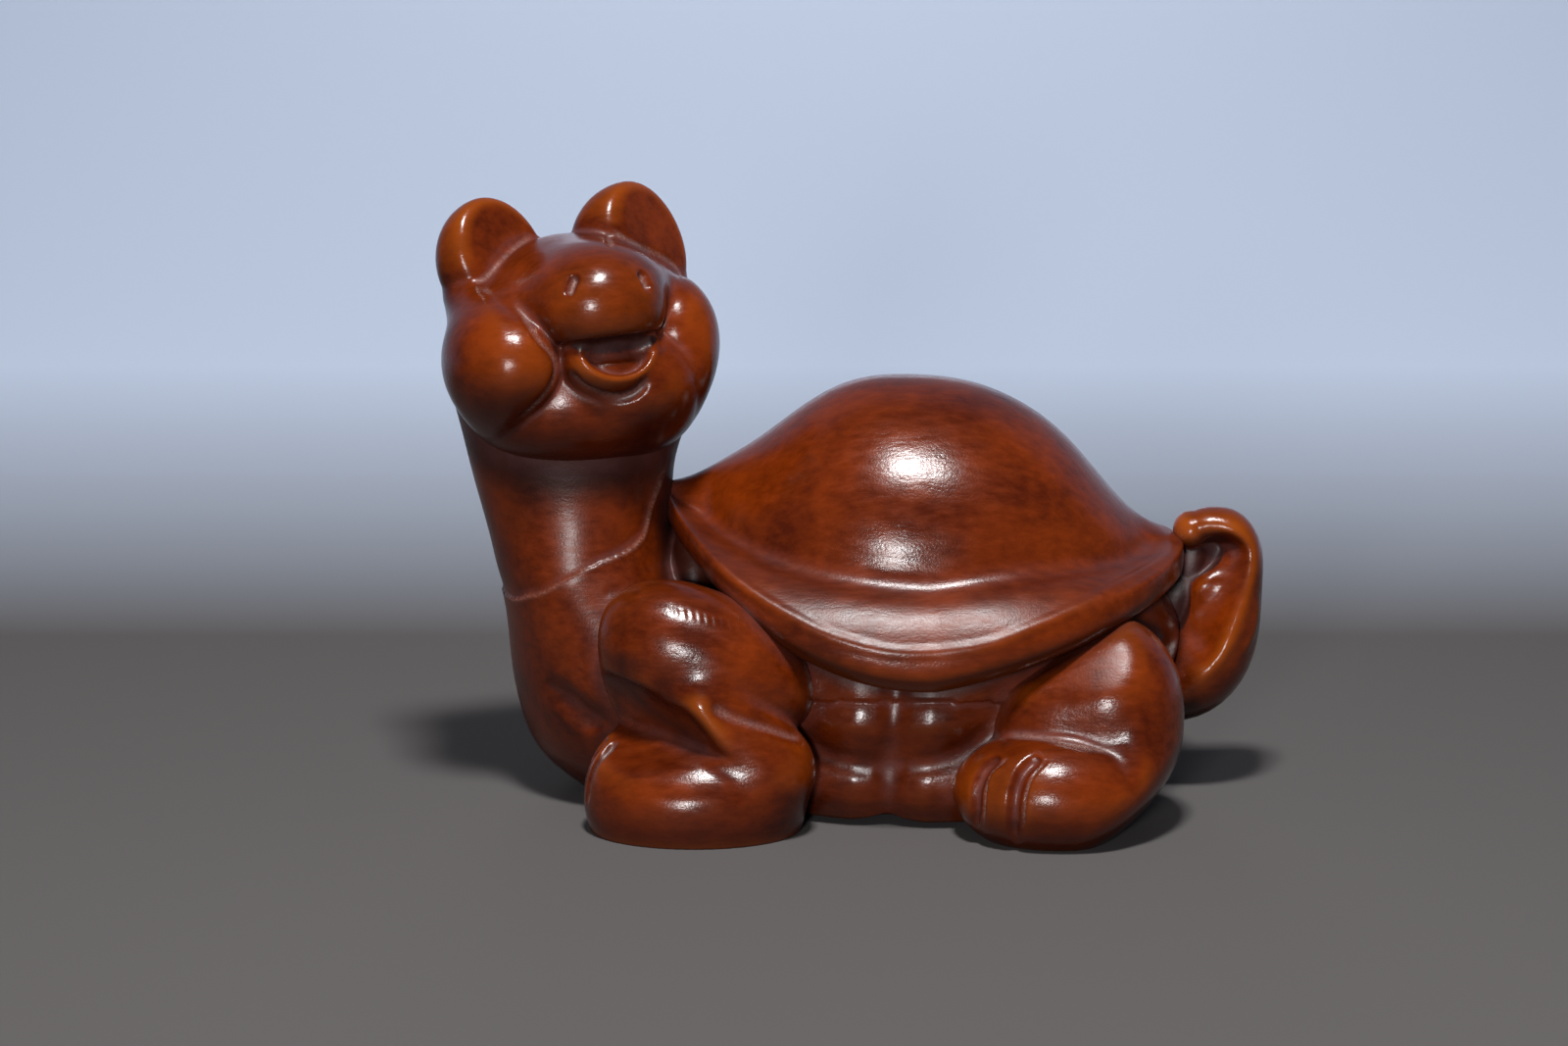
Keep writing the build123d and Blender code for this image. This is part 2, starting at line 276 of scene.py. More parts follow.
def gouge(form, tool, blend):
    """The form with the tool's shape taken out, and its rim eased."""
    return -melt(-form, tool, blend)


def sliced(form, points, place, facing, blend):
    """The form with a flat facet cut across it, at a place and facing a direction."""
    facing = np.array(facing) / np.linalg.norm(facing)
    return -melt(-form, -((points - np.array(place)) @ facing), blend)


def turned(x=0.0, y=0.0, z=0.0):
    """Axes turned about z, then x, then y, in degrees."""
    turn = Matrix.Rotation(math.radians(z), 3, "Z") @ Matrix.Rotation(math.radians(x), 3, "X")
    return np.array(turn @ Matrix.Rotation(math.radians(y), 3, "Y"))


def frame_at(place, axes):
    return Matrix.Translation(place) @ Matrix(axes.tolist()).to_4x4()


# %% Settling a skin on to its form
longest_step = 0.8


def slope_of(form, points, step=0.02):
    slope = np.empty_like(points)
    for axis in range(3):
        shift = np.zeros(3)
        shift[axis] = step
        slope[:, axis] = (form(points + shift) - form(points - shift)) / (2 * step)
    return slope


def settle(piece, form, rounds):
    """Moves the skin on to the form. All rounds but the last two also even it out."""
    points, edges = points_of(piece), edges_of(piece)
    for turn in range(rounds):
        if turn < rounds - 2:
            points = averaged(points, edges, 1, 0.6)
        slope = slope_of(form, points)
        steep = np.maximum((slope**2).sum(1), 0.05)
        step = np.clip(form(points) / steep, -longest_step, longest_step)
        points = points - step[:, None] * slope
    move_points(piece, points)


def carved(name, balls, form):
    """Balls joined and settled on to a form, then given an even skin and settled once more."""
    piece = remesh(join_as(name, balls), grains[name] * 1.5)
    settle(piece, form, 7)
    remesh(piece, grains[name])
    settle(piece, form, 4)
    print(name, "settled:", len(piece.data.vertices), "points")
    return piece


# %% [markdown]
# ## Knife lines
#
# A knife line is a list of points in the photograph. It is rounded into a curve, cast on to the
# skin, and every point of the skin near it is pushed in or out. A groove is a valley, a ridge is its
# opposite, a knife cut is a sharp groove, and a step presses one side of the line down so that the
# other side stands over it. Each line also leaves a mark, which the wax and the painted shade follow
# later: a cut can paint shade into its floor.

# %% A smooth curve through listed points
def rounded(stops, per_span=12):
    """A curve that passes through every stop."""
    stops = np.array(stops, float)
    padded = np.vstack((2 * stops[0] - stops[1], stops, 2 * stops[-1] - stops[-2]))
    shares = np.linspace(0, 1, per_span, endpoint=False)[:, None]
    runs = []
    for a, b, c, d in zip(padded, padded[1:], padded[2:], padded[3:]):
        bend = 2 * b + (c - a) * shares + (2 * a - 5 * b + 4 * c - d) * shares**2
        runs.append((bend + (3 * b - a - 3 * c + d) * shares**3) / 2)
    return np.vstack(runs + [stops[-1:]])


def skin_tree(piece):
    """A piece's skin in a form that a ray can be cast on."""
    points = [tuple(point) for point in points_of(piece)]
    return BVHTree.FromPolygons(points, [tuple(face.vertices) for face in piece.data.polygons])


def cast(tree, pixels):
    """Where the photograph's points fall on a skin."""
    found = []
    for across, down in pixels:
        hit = tree.ray_cast(Vector(eye), Vector(ray_through(across, down)))
        if hit[0] is not None:
            found.append(tuple(hit[0]))
    return np.array(found)


def trace(tree, pixels):
    """A line of the photograph laid on a skin."""
    line = cast(tree, rounded(pixels))
    if len(line) > 4:
        for _ in range(2):
            line[1:-1] = (line[:-2] + 2 * line[1:-1] + line[2:]) / 4
    return line


def flank_twin(line):
    """The same line on the other flank."""
    return line * np.array((1, -1, 1))


# %% Cutting along a line
marks = {}
wax_share, least_wax_width = 0.55, 0.22


def mark(piece, name, amount, where=slice(None)):
    """Adds to a piece's record of where wax, satin and painted shade lie."""
    kept = marks.setdefault(piece.name, {})
    if name not in kept:
        kept[name] = np.zeros(len(piece.data.vertices))
    kept[name][where] = np.maximum(kept[name][where], amount)


def nearest_on_line(points, line):
    """For each point: its distance to the line, the way along it, the foot on it and its direction."""
    runs = line[1:] - line[:-1]
    squares = np.maximum((runs**2).sum(1), 1e-9)
    best = np.full(len(points), 1e9)
    along = np.zeros(len(points))
    foot = np.zeros_like(points)
    way = np.zeros_like(points)
    for index, (start, run, square) in enumerate(zip(line, runs, squares)):
        share = np.clip((points - start) @ run / square, 0, 1)
        at = start + share[:, None] * run
        gap = row_lengths(points - at)
        nearer = gap < best
        best[nearer] = gap[nearer]
        along[nearer] = (index + share[nearer]) / len(runs)
        foot[nearer] = at[nearer]
        way[nearer] = run / math.sqrt(square)
    return best, along, foot, way


def outward_of(piece):
    """Which way is out of the skin, with small roughness left aside."""
    ways = averaged(normals_of(piece), edges_of(piece), 3)
    return ways / np.maximum(row_lengths(ways), 1e-9)[:, None]


def push_of(kind, fall, side):
    """How far the skin moves for a fall from one on the line to nought at its reach."""
    if kind == "step":
        return np.where(side > 0, -(fall**1.7), 0.0)
    if kind == "knife":
        return -(fall**1.6)
    bowl = fall**2 * (3 - 2 * fall)
    return bowl if kind == "ridge" else -bowl


def cut(piece, line, width, depth, kind="groove", fade=0.15, wax=0.0, painted_shade=0.0, ways=None):
    """Pushes the skin along a line. The width is from the line to where the push has died away."""
    if len(line) < 2:
        print("a line missed", piece.name)
        return
    points = points_of(piece)
    reach = width * 1.6 if kind == "step" else width
    low, high = line.min(0) - reach, line.max(0) + reach
    near = np.where(((points > low) & (points < high)).all(1))[0]
    gap, along, foot, way = nearest_on_line(points[near], line)
    inside = gap < reach
    near, gap, along, foot, way = near[inside], gap[inside], along[inside], foot[inside], way[inside]
    outward = (outward_of(piece) if ways is None else ways)[near]
    ends = eased(np.minimum(along, 1 - along), 0, fade) if fade else np.ones(len(near))
    side = (np.cross(way, outward) * (points[near] - foot)).sum(1)
    push = push_of(kind, np.clip(1 - gap / reach, 0, 1), side)
    points[near] += outward * (push * ends * depth)[:, None]
    move_points(piece, points)
    if wax:
        wax_width = max(width * wax_share, least_wax_width)
        mark(piece, "wax_line", wax * np.clip(1 - gap / wax_width, 0, 1) * ends, near)
    # Shade painted into the colour along the line.
    if painted_shade:
        mark(piece, "painted_shade", painted_shade * np.clip(1 - gap / width, 0, 1) * ends, near)


def cut_both(piece, line, *cuts):
    """The same cuts on both flanks. Each is a width, a depth, a kind and what else the cut takes."""
    for side in (line, flank_twin(line)):
        for width, depth, kind, more in cuts:
            cut(piece, side, width, depth, kind, **more)


def chisel(piece, tree, strokes, width, depth, both_flanks=False):
    """A few short strokes of the gouge, as the carver left them."""
    ways = outward_of(piece)
    for stroke in strokes:
        line = cast(tree, rounded(stroke, 4))
        if len(line) < 3:
            continue
        for side in (line, flank_twin(line)) if both_flanks else (line,):
            cut(piece, side, width, depth, fade=0.4, ways=ways)


def rub_out(piece, tree, pixels, full, none, rounds):
    """Evens the skin out round a point of the photograph, from full effect to none at two distances."""
    points = points_of(piece)
    gap = row_lengths(points - trace(tree, pixels)[0])
    move_points(piece, rasped(points, edges_of(piece), eased(-gap, -none, -full), rounds))


# %% [markdown]
# ## The shell
#
# The shell is one smooth form: a dome that runs out into a flared brim with a rolled edge. It starts
# as a ball whose poles are the tips of the brim. Every ring of the ball is then drawn out to a slice
# of the shell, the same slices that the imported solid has, so the two agree to a hair.

# %% Measures of the shell
shell_half_length, shell_half_width = 20.4, 17.8
shell_top, brim_side_height, brim_front_height, brim_rear_height = 33.0, 13.2, 22.9, 18.9
roll_at_side, roll_at_tip = 1.7, 0.95
dome_half_length, dome_half_width = 17.6, 12.8
foot_side_height, foot_front_height, foot_rear_height = 18.6, 23.7, 21.0
hollow_under = 0.6
under_share = 0.12
ridge_line = np.array((
    (-1.0, 0.405), (-0.975, 0.41), (-0.93, 0.425), (-0.87, 0.46), (-0.79, 0.52), (-0.66, 0.63),
    (-0.5, 0.8), (-0.32, 0.95), (-0.06, 1.0), (0.17, 0.96), (0.36, 0.85), (0.55, 0.64), (0.7, 0.39),
    (0.82, 0.215), (0.9, 0.15), (0.96, 0.11), (1.0, 0.085),
))
# Stops of a slice, as shares: of the roll, from the brim's edge; of the flare, from the dome's foot
# out and down to the roll; and of the dome, from the middle out and from the foot up.
roll_stops = ((1.15, -1.7), (0.32, -1.0), (0.0, 0.0), (0.1, 1.1), (0.3, 1.65))
flare_stops = ((0.924, 0.832), (0.769, 0.654), (0.436, 0.402), (0.182, 0.269), (0.067, 0.131))
dome_stops = ((0.984, 0.107), (0.945, 0.249), (0.9, 0.36), (0.66, 0.69), (0.34, 0.92),
              (0.0, 1.0), (-0.34, 0.92))


# %% Slices of the shell
def spline_through(known, values, wanted):
    """A curve with no kink in its bend, through known values."""
    known, values = np.array(known, float), np.array(values, float)
    gaps = np.diff(known)
    size = len(known)
    system, right = np.eye(size), np.zeros((size, *values.shape[1:]))
    rise = np.diff(values, axis=0) / gaps.reshape(-1, *([1] * (values.ndim - 1)))
    for row in range(1, size - 1):
        system[row, row - 1 : row + 2] = gaps[row - 1], 2 * (gaps[row - 1] + gaps[row]), gaps[row]
        right[row] = 6 * (rise[row] - rise[row - 1])
    bend = np.linalg.solve(system, right)
    at = np.clip(np.searchsorted(known, wanted) - 1, 0, size - 2)
    gap = gaps[at].reshape(-1, *([1] * (values.ndim - 1)))
    back = (known[at + 1] - wanted).reshape(gap.shape)
    front = (wanted - known[at]).reshape(gap.shape)
    curve = (bend[at] * back**3 + bend[at + 1] * front**3) / (6 * gap)
    curve += (values[at] / gap - bend[at] * gap / 6) * back
    return curve + (values[at + 1] / gap - bend[at + 1] * gap / 6) * front


def shell_slice(station, turns):
    """Points of one slice, at turns from 0 at the keel by way of one edge to 1 at the ridge."""
    reach = abs(station)
    forward = station < 0
    width = shell_half_width * (1 - min(reach, 0.99995) ** 2.3) ** 0.5
    tip = brim_front_height if forward else brim_rear_height
    edge = brim_side_height + (tip - brim_side_height) * reach ** (2.1 if forward else 1.2)
    roll = min(roll_at_side + (roll_at_tip - roll_at_side) * reach**2, width / 2)
    share = float(spline_through(ridge_line[:, 0], ridge_line[:, 1], np.array((station,)))[0])
    ridge = max(brim_rear_height + (shell_top - brim_rear_height) * share, edge + roll)
    along = min(reach * shell_half_length / dome_half_length, 1)
    foot_width = max(dome_half_width * (1 - along**2) ** 0.5, width * 0.3)
    foot_tip_height = foot_front_height if forward else foot_rear_height
    foot = foot_side_height + (foot_tip_height - foot_side_height) * reach**2.4
    foot = max(min(foot, ridge - roll / 9), edge + roll + (ridge - edge - roll) * 0.3)
    rim = roll / roll_at_side
    span = width - 0.5 * rim - foot_width
    drop = foot - edge - 1.75 * rim
    rise = ridge - foot
    top = [(width - inward * rim, edge + up * rim) for inward, up in roll_stops]
    top += [(foot_width + span * out, foot - drop * down) for out, down in flare_stops]
    top += [(foot_width * out, foot + rise * up) for out, up in dome_stops]
    top = np.array(top)
    steps = np.concatenate(((0,), np.cumsum(np.sqrt((np.diff(top, axis=0) ** 2).sum(1)))))
    steps /= steps[-2]
    out = np.empty((len(turns), 2))
    low = turns < under_share
    share = turns[low] / under_share
    out[low] = np.column_stack((top[0, 0] * share, top[0, 1] + hollow_under * (1 - share**2)))
    high = turns >= under_share
    out[high] = spline_through(steps, top, (turns[high] - under_share) / (1 - under_share))
    return out


# %% The ball drawn out to the slices
def make_shell():
    around, rings = ((352, 220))
    bpy.ops.object.select_all(action="DESELECT")
    bpy.ops.mesh.primitive_uv_sphere_add(segments=around, ring_count=rings, radius=1)
    shell = bpy.context.object
    shell.name = shell.data.name = "shell"
    ball = points_of(shell)
    pole_way = np.arccos(np.clip(ball[:, 2], -1, 1)) / math.pi
    ring = np.rint(pole_way * rings).astype(int)
    turn = np.arctan2(ball[:, 1], -ball[:, 0])
    points = np.empty_like(ball)
    for number in range(rings + 1):
        here = ring == number
        station = -math.cos(math.pi * number / rings)
        side = np.sign(turn[here])
        drawn = shell_slice(station, np.abs(turn[here]) / math.pi)
        points[here] = np.column_stack(
            (np.full(here.sum(), station * shell_half_length), side * drawn[:, 0], drawn[:, 1])
        )
    move_points(shell, points)
    only(shell)
    bpy.ops.object.mode_set(mode="EDIT")
    bpy.ops.mesh.select_all(action="SELECT")
    bpy.ops.mesh.normals_make_consistent(inside=False)
    bpy.ops.object.mode_set(mode="OBJECT")
    shell.data.shade_smooth()
    return shell


shell = make_shell()
edges = edges_of(shell)
points = averaged(points_of(shell), edges, 3, 0.5)
near_tips = eased(np.abs(points[:, 0]), 13.0, 17.5)
points = rasped(points, edges, near_tips, 24)
move_points(shell, points)
print("shell:", len(points), "points, to", points.min(0).round(1), points.max(0).round(1))

# %% [markdown]
# ## The head
#
# The head is a round skull with a heavy jaw, two ball cheeks, a big round snout that flows out of the
# forehead, and two thick lobes for ears with flat faces. It looks up and a little to its left. All of
# its forms are written in the head's own frame: x to its left ear, -y out of its face, z to its crown.

# %% The head's own frame
head_place = np.array((-28.1, -0.6, 35.8))
head_axes = turned(x=-5, z=21) @ turned(y=-0.5)
head_matrix = frame_at(head_place, head_axes)

skull = ((0.5, 0, -0.1), (9.2, 8.4, 8.6))
jaw = ((0.6, -1.8, -4.8), (9.0, 7.2, 5.0))
chin = ((4.0, -5.6, -3.0), (4.4, 5.0, 4.4))
temple = ((-6.1, -2.2, -0.8), (4.5, 4.6, 5.5))
snout = ((0.25, -7.3, 3.4), (5.2, 5.0, 4.6))
snout_underside = ((0.3, -9.0, 0.85), (0.06, -0.15, -1.0))
lip = ((0.7, -8.4, -0.6), (4.0, 2.9, 3.3))
tongue = ((0.7, -8.2, -1.5), (3.2, 2.3, 1.5))
mouth_bowl = ((0.7, -11.4, 0.6), (3.3, 2.6, 2.55))
mouth_rim = ((0.6, -9.4, 0.4), (3.9, 2.8, 1.3))
mouth_gap = ((0.6, -9.4, 0.6), (3.5, 2.4, 0.75))
cheek_places = {-1: (-6.3, -5.2, -0.9), 1: (7.0, -4.7, 0.4)}
cheek_radii = {-1: (4.1, 4.5, 4.3), 1: (3.5, 4.2, 4.5)}
ear_places = {-1: (-5.2, 1.3, 6.6), 1: (6.4, 1.8, 7.0)}
ear_radii = {-1: (4.7, 3.3, 5.1), 1: (5.2, 3.3, 5.2)}
ear_axes = {side: turned(y=20 * side) for side in (-1, 1)}
ear_faces = {-1: ((0.40, -0.87, 0.27), 1.25), 1: ((0.52, -0.81, 0.26), 1.6)}


def in_head(points):
    return (points - head_place) @ head_axes


def head_form(points):
    local = in_head(points)
    form = melt(ovoid(local, *skull), ovoid(local, *jaw), 3.0)
    form = melt(form, ovoid(local, *chin), 2.0)
    form = melt(form, ovoid(local, *temple), 1.5)
    for side, place in cheek_places.items():
        away = side * (local[:, 0] - place[0])
        outer = np.maximum(eased(away, -1.0, 2.0), eased(local[:, 2] - place[2] - 0.4 * away, 2.0, 6.0))
        form = melt(form, ovoid(local, place, cheek_radii[side]), 0.3 + 2.8 * outer)
    form = melt(form, ovoid(local, *lip), 0.5)
    form = gouge(form, ovoid(local, *mouth_bowl), 0.4)
    form = melt(form, ovoid(local, *tongue), 0.3)
    muzzle = sliced(ovoid(local, *snout), local, *snout_underside, 0.5)
    form = melt(form, muzzle, 0.3 + 3.6 * eased(local[:, 2], 1.5, 7.0))
    for side, place in ear_places.items():
        lobe = ovoid(local, place, ear_radii[side], ear_axes[side])
        facing, distance = ear_faces[side]
        lobe = sliced(lobe, local, np.array(place) + np.array(facing) * distance, facing, 0.8)
        away = side * (local[:, 0] - place[0])
        form = melt(form, lobe, 0.5 + 3.0 * eased(away, 0.5, 3.5) * eased(place[2] - local[:, 2], 0.0, 3.0))
    return form


# %% Balls for the head, joined and melted
def make_head():
    balls = [add_ball(*mass, head_matrix) for mass in (skull, jaw, snout, lip, chin)]
    for side in (-1, 1):
        balls.append(add_ball(cheek_places[side], cheek_radii[side], head_matrix))
        ear_frame = head_matrix @ frame_at(ear_places[side], ear_axes[side])
        balls.append(add_ball((0, 0, 0), ear_radii[side], ear_frame))
    balls.append(add_ball(*temple, head_matrix))
    head = carved("head", balls, head_form)
    points = points_of(head)
    inside = ovoid(in_head(points), *mouth_rim) < 0
    even = averaged(points, edges_of(head), 24, 0.6)
    move_points(head, np.where(inside[:, None], even, points))
    return head


head = make_head()

# %% [markdown]
# ## Neck and chest
#
# The neck is a thick column that leans forward and swells into the chest. It starts as a tall
# cylinder, and each of its rings is drawn to an oval between a front line and a back line. The collar
# is one sloping line round the column: below it the chest stands a little proud. A ball behind the
# column fills the dark gap between it and the shell, and it is painted dark as shade.

# %% The column of neck and chest
column_rings = np.array((
    # height, front, back, half width
    (0.4, 27.6, 9.0, 8.2), (2.8, 30.4, 9.0, 9.8), (5.9, 32.0, 9.0, 10.9), (9.7, 32.8, 10.0, 11.4),
    (14.0, 33.2, 14.0, 10.7), (17.4, 33.8, 18.9, 9.3), (20.6, 34.5, 20.0, 8.2), (24.0, 35.4, 20.0, 7.6),
    (26.8, 36.1, 19.7, 7.6), (29.4, 36.7, 18.8, 7.9), (32.0, 37.3, 17.8, 8.3), (35.0, 37.4, 17.4, 8.4),
))
column_web = ((-18.2, 0, 16.2), (2.9, 5.0, 5.6))


def raised_tube(cuts, rings):
    """A tube, its points, and for each point its height and the ring's other measures there."""
    tube = add_tube(96, *cuts)
    points = points_of(tube)
    points[:, 2] = rings[0, 0] + (points[:, 2] + 0.5) * (rings[-1, 0] - rings[0, 0])
    return tube, points, spline_through(rings[:, 0], rings[:, 1:], points[:, 2]).T


def make_torso():
    column, points, (front, back, half_width) = raised_tube((7, 3), column_rings)
    points[:, 0] = -(front + back) / 2 + points[:, 0] * (front - back) / 2
    points[:, 1] *= half_width
    move_points(column, points)
    return smooth_skin("torso", [column, add_ball(*column_web)], 6)


torso = make_torso()

# %% [markdown]
# ## The bridge between the legs
#
# Under the brim, between fore and hind leg, the flank shows the bridge of the shell: four soft
# pillows parted by a cross of knife grooves. The trunk above and the belly below are one tub.

# %% The tub of trunk and belly
tub_rings = np.array((
    # height, half length, half width
    (0.4, 16.7, 13.4), (2.0, 17.9, 14.2), (6.3, 18.6, 14.6), (10.0, 18.6, 14.6), (13.7, 17.5, 13.6),
    (16.0, 16.0, 12.3),
))
rump = ((14.6, 0, 12.4), (5.6, 8.5, 5.8))


def make_bridge():
    tub, points, (half_length, half_width) = raised_tube((9,), tub_rings)
    points[:, 0] *= half_length
    points[:, 1] *= half_width
    move_points(tub, points)
    return smooth_skin("bridge", [tub, add_ball(*rump)], 6)


bridge = make_bridge()

# %% [markdown]
# ## The forelegs
#
# Each foreleg is folded: the upper arm runs down and back under the brim, the forearm comes forward
# again, and the paw lies flat in front. The gouge has taken out a deep hollow between them.

# %% One foreleg
arm_axes = turned(y=28)
arm = ((-17.0, -12.2, 13.0), (8.7, 5.0, 5.2))
shoulder = ((-20.9, -11.4, 12.3), (4.2, 4.3, 5.6))
shin = ((-17.2, -14.0, 10.4), (-12.8, -14.6, 5.0), 4.0)
elbow = ((-14.4, -14.4, 7.0), (4.6, 4.0, 4.8))
paw = ((-18.0, -13.4, 2.6), (8.6, 6.3, 7.6))
paw_top = ((-19.4, -18.3, 6.1), (-0.05, -0.5, 0.86))
notch_back = np.array(((-16.3, -18.2, 8.6), (-0.62, -0.74, -0.28)))
notch_floor = np.array(((-15.2, -18.6, 6.6), (-0.2, -0.45, 0.87)))


def foreleg_form(points):
    upper = melt(ovoid(points, *arm, arm_axes), ovoid(points, *shoulder), 2.5)
    sole = sliced(ovoid(points, *paw), points, *paw_top, 2.2)
    form = melt(melt(upper, rod(points, *shin), 0.5), sole, 1.0)
    back, floor = ((points - place) @ facing for place, facing in (notch_back, notch_floor))
    ceiling = 12.0 - points[:, 2] - 0.25 * (points[:, 0] + 20)
    notch = -melt(melt(back, floor, 0.4), ceiling, 3.0)
    return np.maximum(gouge(form, notch, 0.3), -points[:, 2])


def make_foreleg():
    balls = [add_ball((0, 0, 0), arm[1], frame_at(arm[0], arm_axes))]
    balls += [add_ball(*mass) for mass in (paw, shoulder, elbow)]
    return carved("foreleg_left", balls, foreleg_form)


foreleg = make_foreleg()

# %% [markdown]
# ## The hind legs
#
# The hind leg is a tall thigh with a foot that points forward beneath it. A flat facet faces up and
# forward on the thigh, and a shallow gouged plane runs from it down to the foot.

# %% One hind leg
thigh_axes = turned(y=4)
thigh = ((13.7, -11.7, 8.5), (5.9, 6.3, 7.8))
knee = ((9.8, -11.8, 6.6), (5.2, 5.8, 7.2))
foot = ((9.8, -15.2, 3.5), (8.1, 6.3, 5.0))
knee_top = ((10.0, -14.8, 13.3), (-0.49, 0, 0.87))
thigh_facet = ((12.7, -15.58, 13.76), (-0.22, -0.74, 0.635))
gouged_plane = ((2.0, -20.7, 8.9), (16.5, -24.4, 9.3), 4.9)
heel_cut = ((17.6, -14.0, 2.8), (0.72, -0.25, -0.65))


def hindleg_form(points):
    upper = melt(ovoid(points, *thigh, thigh_axes), ovoid(points, *knee), 1.5)
    upper = sliced(upper, points, *knee_top, 0.5)
    upper = sliced(upper, points, *thigh_facet, 0.9)
    upper = gouge(upper, rod(points, *gouged_plane), 2.0)
    form = melt(upper, ovoid(points, *foot), 0.5 + 3.8 * eased(points[:, 0], 13.0, 16.5))
    form = sliced(form, points, *heel_cut, 2.0)
    return np.maximum(form, -points[:, 2])


def make_hindleg():
    balls = [add_ball((0, 0, 0), thigh[1], frame_at(thigh[0], thigh_axes)), add_ball(*knee), add_ball(*foot)]
    return carved("hindleg_left", balls, hindleg_form)


hindleg = make_hindleg()

# %% [markdown]
# ## The tail
#
# The tail leaves the body under the rear tip of the shell, swings out, curls back over itself and
# ends in a small ball that touches the shell. It is drawn as a tube whose rings follow its line. Two
# thin webs stand inside the hook and close it; they are painted dark as shade.

# %% The hooked tail
tail_line = np.array((
    # behind the shell's middle, height, turn of the ring, half thickness, half width
    (16.8, 7.9, 88, 2.8, 3.9), (20.4, 8.4, 66, 3.1, 4.2), (22.4, 10.4, 34, 3.4, 4.3),
    (23.2, 13.0, 6, 3.35, 4.2), (23.6, 15.4, 4, 3.1, 3.9), (24.0, 17.2, 0, 2.75, 3.5),
    (24.85, 19.15, -14, 1.75, 2.6), (24.2, 20.65, -46, 1.5, 2.2), (23.1, 21.1, -82, 1.4, 1.9),
    (22.0, 21.05, -108, 1.35, 1.75), (21.3, 20.7, -130, 1.3, 1.6),
))
tail_tip = ((21.0, 0, 20.65), (1.45, 1.75, 1.55))
tail_web = ((21.7, 0, 17.2), (2.7, 1.3, 3.2))
tail_root = ((20.6, 0, 14.8), (2.6, 1.5, 3.4))


def make_tail():
    hook = add_tube(48, 9, 3)
    points = points_of(hook)
    share = (points[:, 2] + 0.5) * (len(tail_line) - 1)
    behind, height, turn, thick, wide = spline_through(np.arange(len(tail_line)), tail_line, share).T
    turn = np.radians(turn)
    out = points[:, 0] * thick
    placed = np.column_stack((behind + out * np.cos(turn), points[:, 1] * wide, height - out * np.sin(turn)))
    move_points(hook, placed)
    return smooth_skin("tail", [hook, *(add_ball(*mass) for mass in (tail_tip, tail_web, tail_root))], 4)


tail = make_tail()

# %% [markdown]
# ## Carving
#
# With the masses in place the knife work begins. Each line is listed in points of the photograph,
# across and down. A line that shows on the near flank is cut into the far flank too.

# %% The edge of the brim
rim_edge = ((698, 546), (730, 577), (760, 600), (800, 625), (850, 650), (920, 666), (1000, 660),
            (1050, 642), (1100, 619), (1140, 597), (1180, 574), (1204, 556))
brim_valley = ((725, 515), (760, 541), (821, 578), (864, 596), (944, 603), (1010, 602),
               (1066, 596), (1112, 584), (1149, 554), (1167, 535))
cut_both(shell, trace(skin_tree(shell), rim_edge), (0.8, 0.16, "ridge", {}))
valley = trace(skin_tree(shell), brim_valley)
points = points_of(shell)
order = np.argsort(valley[:, 0])
depth = np.interp(points[:, 0], valley[order, 0], valley[order, 2]) - points[:, 2]
upward = eased(outward_of(shell)[:, 2], 0.1, 0.5)
mark(shell, "satin", 0.8 * eased(depth, -1.5, 1.0) * upward)

# %% Face
cheek_crease = ((523, 301), (547, 342), (564, 362), (567, 382), (554, 406), (527, 430))
under_lip = ((580, 377), (595, 394), (625, 405), (647, 401), (664, 383))
mouth_corner = ((698, 388), (706, 396))
brow_line = ((621, 236), (623, 254))
ear_lines = (((547, 236), (519, 259), (498, 281), (484, 290)),
             ((621, 234), (647, 248), (684, 267), (701, 288)))
nostrils = (((585, 285), (583, 290), (581, 296)), ((656, 281), (658.5, 286), (661, 291)))


def carve_head():
    tree = skin_tree(head)
    cut(head, trace(tree, cheek_crease), 0.7, 0.15, wax=0.5)
    # Shade is painted into the groove under the lip and into the mouth gap under the beak.
    cut(head, trace(tree, under_lip), 0.7, 0.3, wax=0.3, painted_shade=0.3)
    mark(head, "painted_shade", 1.0 * (ovoid(in_head(points_of(head)), *mouth_gap) < 0))
    rub_out(head, tree, mouth_corner, 1.8, 3.6, 40)
    cut(head, trace(tree, brow_line), 0.5, 0.15, wax=0.6, fade=0.3)
    for ear_line in ear_lines:
        cut(head, trace(tree, ear_line), 0.6, 0.06, wax=0.6)
    for nostril in nostrils:
        cut(head, trace(tree, nostril), 0.62, 0.5, wax=1.0, fade=0)


carve_head()

# %% Collar and chest
collar_line = ((524, 611), (554, 604), (600, 580), (640, 562), (657, 545), (664, 518), (674, 492))
collar_front = -33.2
chest_fold = ((549, 692), (578, 714), (605, 737), (614, 748))
neck_strokes = [((618 + 6 * k, 611 - k), (623 + 6 * k, 596 - k)) for k in range(7)]
chest_strokes = [((590 + 3 * (k % 2), 668 + 8 * k), (596 + 3 * (k % 2), 673 + 8 * k)) for k in range(7)]


def carve_torso():
    tree = skin_tree(torso)
    flank = trace(tree, collar_line)
    front = np.array(((collar_front, 0.0, flank[0, 2] - 0.1),))
    collar = rounded(np.vstack((flank_twin(flank[::-6]), front, flank[::6])), 6)
    cut(torso, collar[::-1], 1.8, 0.22, "step", fade=0)
    cut(torso, collar, 0.6, 0.08, "ridge", fade=0, wax=0.5)
    soft_fold = (1.9, 0.6, "groove", {"fade": 0.4})
    # The sharp fold paints shade into the chest's crease.
    sharp_fold = (0.5, 0.3, "knife", {"fade": 0.3, "painted_shade": 0.9})
    cut_both(torso, trace(tree, chest_fold), soft_fold, sharp_fold)
    chisel(torso, tree, neck_strokes + chest_strokes, 0.4, 0.06, both_flanks=True)
    mark(torso, "satin", 0.6)
    # Painted shade on the ball behind the column, where the gap to the shell lies in shadow.
    mark(torso, "painted_shade", 0.85 * eased(points_of(torso)[:, 0], -21.8, -20.4))


carve_torso()

